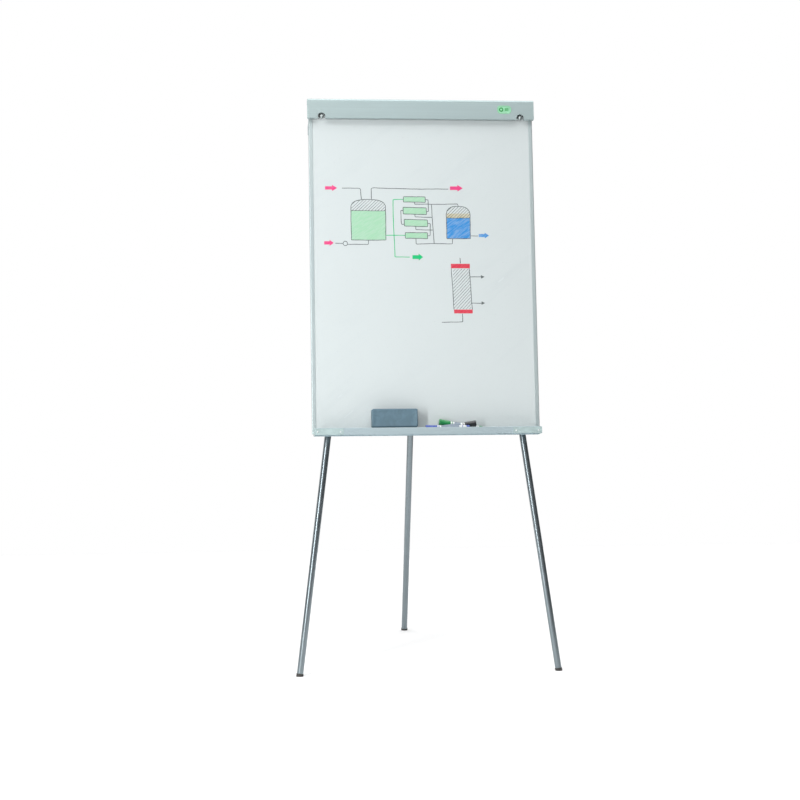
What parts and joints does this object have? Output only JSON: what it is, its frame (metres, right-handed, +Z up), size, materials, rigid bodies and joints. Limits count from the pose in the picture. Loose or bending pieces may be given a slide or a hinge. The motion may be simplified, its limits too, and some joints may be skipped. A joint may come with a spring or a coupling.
{
  "type": "flipchart easel",
  "caption": "Flipchart easel: leaning dry-wipe board with a hinged paper clamp bar and pen tray on telescopic tripod legs that fold behind it.",
  "frame": {"origin": "on the floor, under the middle of the object's box", "axes": "+Z up, writing side faces -Y, +X to the reader's right"},
  "size_m": [0.8118, 0.795, 1.7545],
  "materials": {
    "back_sheet_coat": "satin",
    "badge_green": "gloss",
    "bracket_coat": "satin",
    "cap_plastic": "satin",
    "clamp_coat": "satin",
    "core_board": "matte",
    "eraser_pad": "matte",
    "eraser_shell": "matte",
    "foot_rubber": "matte",
    "frame_aluminium": "satin",
    "grip_rubber": "matte",
    "leg_plastic": "matte",
    "leg_tube": "satin",
    "marker_black": "gloss",
    "marker_blue": "gloss",
    "marker_green": "gloss",
    "marker_white": "gloss",
    "peg_steel": "satin",
    "rivet_bright": "satin",
    "screw_steel": "satin",
    "spring_steel": "satin",
    "tray_coat": "satin",
    "writing_enamel": "gloss"
  },
  "bodies": {
    "board": {"writing_surface": "writing_enamel", "panel_core": "core_board", "back_sheet": "back_sheet_coat", "frame_rail_left": "frame_aluminium", "frame_rail_right": "frame_aluminium", "frame_rail_top": "frame_aluminium", "frame_rail_bottom": "frame_aluminium", "rail_plugs": "cap_plastic", "pad_pegs": "peg_steel", "peg_nuts": "screw_steel", "pen_tray": "tray_coat", "tray_end_cap_left": "cap_plastic", "tray_end_cap_right": "cap_plastic", "tray_rivets": "rivet_bright", "frame_screws": "screw_steel", "hinge_lugs": "bracket_coat", "clamp_springs": "spring_steel", "crossbar": "bracket_coat", "leg_rivets": "screw_steel", "leg_saddles": "leg_plastic", "rear_bracket": "bracket_coat", "rear_pivot_pin": "screw_steel", "rear_stop_pin": "screw_steel"},
    "clamp": {"clamp_bar": "clamp_coat", "clamp_end_cap_left": "cap_plastic", "clamp_end_cap_right": "cap_plastic", "grip_strip": "grip_rubber", "badge": "badge_green", "hinge_rod": "screw_steel"},
    "front_left_upper": {"front_left_knuckle": "leg_plastic", "front_left_upper_tube": "leg_tube", "front_left_lock_collar": "leg_plastic"},
    "front_left_lower": {"front_left_lower_tube": "leg_tube", "front_left_guide_sleeve": "leg_plastic", "front_left_foot": "foot_rubber"},
    "front_left_knob": {"front_left_lock_knob": "leg_plastic"},
    "front_right_upper": {"front_right_knuckle": "leg_plastic", "front_right_upper_tube": "leg_tube", "front_right_lock_collar": "leg_plastic"},
    "front_right_lower": {"front_right_lower_tube": "leg_tube", "front_right_guide_sleeve": "leg_plastic", "front_right_foot": "foot_rubber"},
    "front_right_knob": {"front_right_lock_knob": "leg_plastic"},
    "rear_upper": {"rear_knuckle": "leg_plastic", "rear_upper_tube": "leg_tube", "rear_lock_collar": "leg_plastic"},
    "rear_lower": {"rear_lower_tube": "leg_tube", "rear_guide_sleeve": "leg_plastic", "rear_foot": "foot_rubber"},
    "rear_knob": {"rear_lock_knob": "leg_plastic"},
    "eraser": {"eraser_block": "eraser_shell", "eraser_felt": "eraser_pad"},
    "marker_blue": {"marker_blue_cap": "marker_blue", "marker_blue_barrel": "marker_white"},
    "marker_black": {"marker_black_cap": "marker_black", "marker_black_barrel": "marker_white"},
    "marker_green": {"marker_green_cap": "marker_green", "marker_green_barrel": "marker_white"}
  },
  "joints": [
    {"name": "clamp_open", "type": "hinge", "parent": "board", "child": "clamp", "pos_m": [0, -0.16495, 1.74378], "axis": [-1, 0, 0], "range_deg": [0, 40], "stiffness_Nm_per_rad": 0.8, "springref_deg": -57.3},
    {"name": "front_left_fold", "type": "hinge", "parent": "board", "child": "front_left_upper", "pos_m": [-0.176, -0.15254, 1.66327], "axis": [0, -0.9903, 0.1392], "range_deg": [0, 7.42]},
    {"name": "front_left_extend", "type": "slide", "parent": "front_left_upper", "child": "front_left_lower", "axis": [0.1291, 0.138, 0.982], "range_m": [0, 0.7]},
    {"name": "front_left_knob_turn", "type": "hinge", "parent": "front_left_upper", "child": "front_left_knob", "pos_m": [-0.29384, -0.25817, 0.76438], "axis": [0, 0.9903, -0.1392], "range_deg": [0, 360]},
    {"name": "front_right_fold", "type": "hinge", "parent": "board", "child": "front_right_upper", "pos_m": [0.176, -0.15254, 1.66327], "axis": [0, 0.9903, -0.1392], "range_deg": [0, 7.42]},
    {"name": "front_right_extend", "type": "slide", "parent": "front_right_upper", "child": "front_right_lower", "axis": [-0.1291, 0.138, 0.982], "range_m": [0, 0.7]},
    {"name": "front_right_knob_turn", "type": "hinge", "parent": "front_right_upper", "child": "front_right_knob", "pos_m": [0.29384, -0.25817, 0.76438], "axis": [0, 0.9903, -0.1392], "range_deg": [0, 360]},
    {"name": "rear_fold", "type": "hinge", "parent": "board", "child": "rear_upper", "pos_m": [0, -0.12711, 1.61426], "axis": [-1, 0, 0], "range_deg": [0, 25.63]},
    {"name": "rear_extend", "type": "slide", "parent": "rear_upper", "child": "rear_lower", "axis": [0, -0.3029, 0.953], "range_m": [0, 0.7]},
    {"name": "rear_knob_turn", "type": "hinge", "parent": "rear_upper", "child": "rear_knob", "pos_m": [0.0205, 0.14924, 0.74462], "axis": [1, 0, 0], "range_deg": [0, 360]},
    {"name": "eraser_pull", "type": "slide", "parent": "board", "child": "eraser", "axis": [0, -0.9903, 0.1392], "range_m": [0, 0.12]},
    {"name": "marker_blue_lift", "type": "slide", "parent": "board", "child": "marker_blue", "axis": [0, -0.2078, 0.9782], "range_m": [0, 0.08]},
    {"name": "marker_black_lift", "type": "slide", "parent": "board", "child": "marker_black", "axis": [0, -0.2078, 0.9782], "range_m": [0, 0.08]},
    {"name": "marker_green_lift", "type": "slide", "parent": "board", "child": "marker_green", "axis": [0, 0.1392, 0.9903], "range_m": [0, 0.08]}
  ]
}
